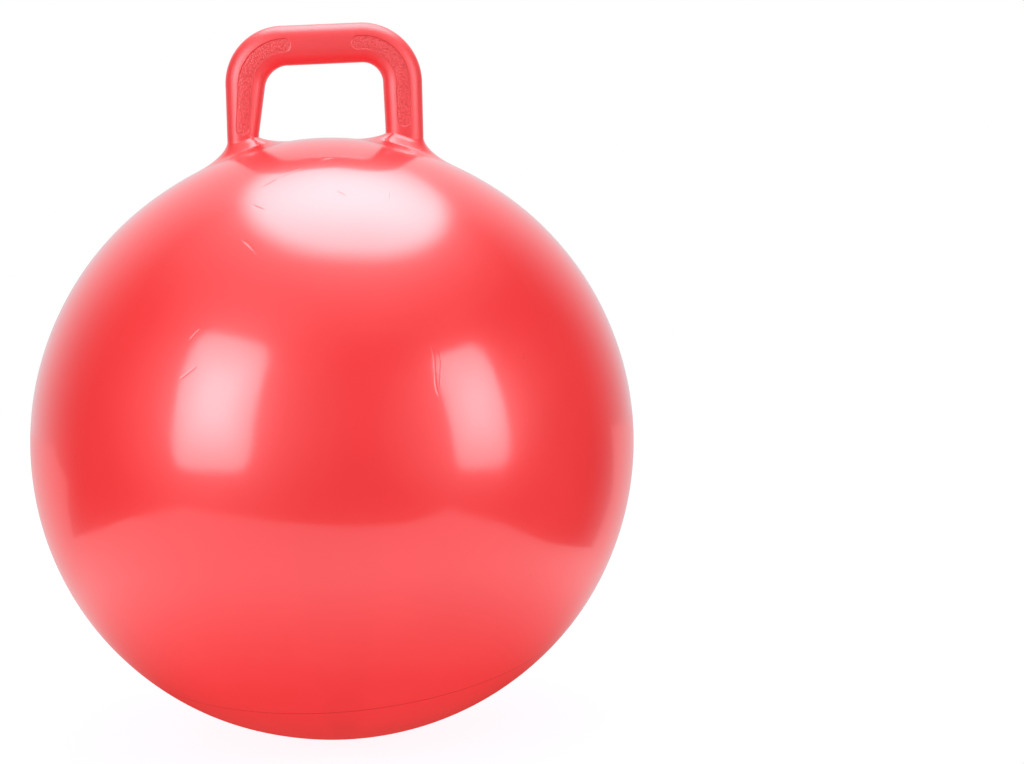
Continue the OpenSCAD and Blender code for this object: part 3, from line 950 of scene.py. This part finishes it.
# A painted red shadow: a glow that stands in for the ball's shadow and the red it throws on the table.
shade = glowing(start, PAINTED_SHADOW_RED, PAINTED_SHADOW_LEVEL)
share = seen_by(start, "Is Camera Ray") * CAMERA_SHARE + seen_by(start, "Is Diffuse Ray")
at = start.node("ShaderNodeTexCoord", out="Object")
far = at.length().ramp(NEAR_M, FAR_M)
behind = at.part("Y").ramp(-0.3, 0.3, 1, BEHIND_SHARE)
mirror_ray = seen_by(start, "Is Glossy Ray", "Is Transmission Ray")
# Mirror rays see the painted red shadow close to the ball and behind it, and the white glow further
# out.
mixed = mixed_by(mirror_ray, mixed_by(share, matte, glow), mixed_by(far * behind, shade, glow))
start.node("ShaderNodeOutputMaterial", sockets={"Surface": mixed})
table_mesh.materials.append(table_finish)
print(f"{table_finish.name}: {len(table_finish.node_tree.nodes)} nodes")

# %% [markdown]
# ## The studio
# Three things light the ball. Soft lamps and a pale world light it evenly, at a level at which a
# colour looks as it is written. The softboxes that the gloss mirrors are cards that only mirror rays
# see, so they can be as bright as real ones without bleaching the vinyl. Round it all stands a dome,
# also for mirror rays only: white behind the ball, which gives the pale rim, dim in front, and with
# the light that spills round the two softboxes at the sides.

# %% World
WORLD_GREY, WORLD_WHITE = (0.8, 0.8, 0.8, 1), (1, 1, 1, 1)

world = bpy.data.worlds.new("studio_world")
bpy.context.scene.world = world
start = tree_of(world)
lit, seen = (
    start.node("ShaderNodeBackground", sockets={"Color": colour, "Strength": 1.0})
    for colour in (WORLD_GREY, WORLD_WHITE)
)
both = mixed_by(seen_by(start, "Is Camera Ray", "Is Glossy Ray", "Is Transmission Ray"), lit, seen)
start.node("ShaderNodeOutputWorld", sockets={"Surface": both})
print("world nodes:", len(world.node_tree.nodes))


# %% Cards that only gloss sees
COOL = (1.0, 0.93, 1.0, 1)


def mirror_only(obj):
    """Keeps a stage piece out of everything but mirror rays."""
    obj.visible_camera = obj.visible_diffuse = obj.visible_shadow = False
    obj.visible_transmission = obj.visible_volume_scatter = False
    obj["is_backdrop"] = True


def card(name, middle, right_dir, up_dir, left_low, right_high, level, edge, fade, soft=0.09, bulge=6):
    """A glowing card with its corners at left_low and right_high, in metres from middle.
    Its level falls to the share edge at the rim, which is soft, and rounder the smaller bulge is.
    fade runs over its height: from where, to where, and the shares of the level there."""
    u, v = Vector(right_dir).normalized(), Vector(up_dir).normalized()
    (x0, y0), (x1, y1) = left_low, right_high
    spare = 1 + soft
    hx, hy = (x1 - x0) / 2 * spare, (y1 - y0) / 2 * spare
    mesh = bpy.data.meshes.new(name)
    mesh.from_pydata([(-hx, -hy, 0), (hx, -hy, 0), (hx, hy, 0), (-hx, hy, 0)], [], [[0, 1, 2, 3]])
    obj = bpy.data.objects.new(name, mesh)
    bpy.context.scene.collection.objects.link(obj)
    turned_by = Matrix((u, v, u.cross(v))).transposed().to_4x4()
    centre = Vector(middle) + u * ((x0 + x1) / 2) + v * ((y0 + y1) / 2)
    obj.matrix_world = Matrix.Translation(centre) @ turned_by
    finish = bpy.data.materials.new(name)
    start = tree_of(finish)
    at = start.node("ShaderNodeTexCoord", out="Object")
    x, y = at.part("X") / (hx / spare), at.part("Y") / (hy / spare)
    power_x, power_y = (t.math("POWER", t.math("ABSOLUTE", t), bulge) for t in (x, y))
    total = power_x + power_y
    radius = total.math("POWER", total, 1 / bulge)
    share = radius.ramp(1 - soft, 1 + soft, 1, 0) * radius.ramp(0.1, 1, 1, edge) * y.ramp(*fade)
    clear = start.node("ShaderNodeBsdfTransparent")
    mixed = mixed_by(share, clear, glowing(start, COOL, level))
    start.node("ShaderNodeOutputMaterial", sockets={"Surface": mixed})
    mesh.materials.append(finish)
    mirror_only(obj)
    print(f"{name}: {x1 - x0:.2f} by {y1 - y0:.2f} m at level {level}")


card(
    "softbox_left", middle=(-1.300, -1.255, 0.857), right_dir=(0.695, -0.719, 0),
    up_dir=(0.222, 0.215, 0.951), left_low=(-0.40, -0.72), right_high=(0.62, 0.82),
    level=8.4, edge=0.62, fade=(-1.1, 0.2, 0.8, 1),
)
card(
    "softbox_right", middle=(1.563, -0.977, 0.729), right_dir=(0.530, 0.848, 0),
    up_dir=(-0.205, 0.128, 0.97), left_low=(-0.59, -0.66), right_high=(0.15, 0.66),
    level=6.9, edge=0.72, fade=(-1.1, 0.2, 0.75, 1),
)
card(
    "softbox_top", middle=(0, 0, 1.5), right_dir=(1, 0, 0),
    up_dir=(0, 1, 0), left_low=(-0.43, -0.39), right_high=(0.68, 1.08),
    level=7.7, edge=0.9, fade=(-0.5, 1.0, 1, 0.15), soft=0.16, bulge=2.3,
)

# %% Dome that only gloss sees
DOME_R = 4.5
BACK_WHITE, BACK_LEVEL = (1, 0.88, 0.92, 1), 0.85
FRONT_WHITE, FRONT_LEVEL = (1, 0.95, 0.95, 1), 0.02
SPILLS = [
    # azimuth and height, the cosines between which it grows, and its share
    (-42, 18, 0.64, 0.97, 0.5),
    (45, 10, 0.85, 0.99, 0.6),
]

heights = np.radians(np.linspace(-80, 80, 17))
azimuths = np.linspace(0, 2 * np.pi, 48, endpoint=False)
level_r = np.cos(heights)[:, None]
dome_rings = DOME_R * np.stack([
    level_r * np.cos(azimuths), level_r * np.sin(azimuths),
    np.sin(heights)[:, None] * np.ones_like(azimuths),
], -1)
low_tip, high_tip = (np.array([[0, 0, z]]) for z in (-DOME_R, DOME_R))
dome = mesh_from_rings("studio_dome", dome_rings, low_tip, high_tip)
dome.location.z = MIDDLE_Z
dome_finish = bpy.data.materials.new("studio_dome")
start = tree_of(dome_finish)
at = start.node("ShaderNodeTexCoord", out="Object")
heading = at.vector("MULTIPLY", (1, 1, 0)).unit()
behind = heading.vector("DOT_PRODUCT", Vector((-0.05, 1, 0)).normalized(), 1).ramp(0.25, 0.97)
above = at.part("Z").ramp(0.57 * DOME_R, 0.95 * DOME_R)
share = behind.math("MAXIMUM", behind, above)
direction = at.unit()
for azimuth, up, low, high, spill in SPILLS:
    share = share + direction.vector("DOT_PRODUCT", on_unit(azimuth, up), 1).ramp(low, high) * spill
dim = glowing(start, FRONT_WHITE, FRONT_LEVEL)
white = glowing(start, BACK_WHITE, BACK_LEVEL)
start.node("ShaderNodeOutputMaterial", sockets={"Surface": mixed_by(share, dim, white)})
dome.data.materials.append(dome_finish)
mirror_only(dome)


# %% Soft lamps
def soft_lamp(name, place, target, size, level):
    """A square area lamp that adds level, as a share of white, to a face turned to it at the target."""
    lamp = bpy.data.lights.new(name, "AREA")
    lamp.size = size
    offset = Vector(place) - Vector(target)
    lamp.energy = level * math.pi**2 * offset.length_squared
    obj = bpy.data.objects.new(name, lamp)
    bpy.context.scene.collection.objects.link(obj)
    obj.matrix_world = Matrix.Translation(place) @ offset.to_track_quat("Z", "Y").to_matrix().to_4x4()
    obj.visible_glossy = False
    print(f"{name}: {lamp.energy:.1f} W")


HEART = (0, 0, MIDDLE_Z)
soft_lamp("lamp_top", (0.1, 0.1, 2.0), HEART, 1.3, 0.34)
soft_lamp("lamp_left", (-1.5, -1.6, 0.9), HEART, 1.1, 0.27)
soft_lamp("lamp_right", (1.9, -0.8, 0.7), HEART, 0.9, 0.22)

# %% [markdown]
# ## Finish
# The Standard view shows colours as they are written.

# %% Set the view and print the sizes
scene = bpy.context.scene
scene.view_settings.view_transform = "Standard"
boxes = {"cad": cad_box, "visual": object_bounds()}
for name, box in boxes.items():
    print(name, [[round(v, 4) for v in corner] for corner in box])
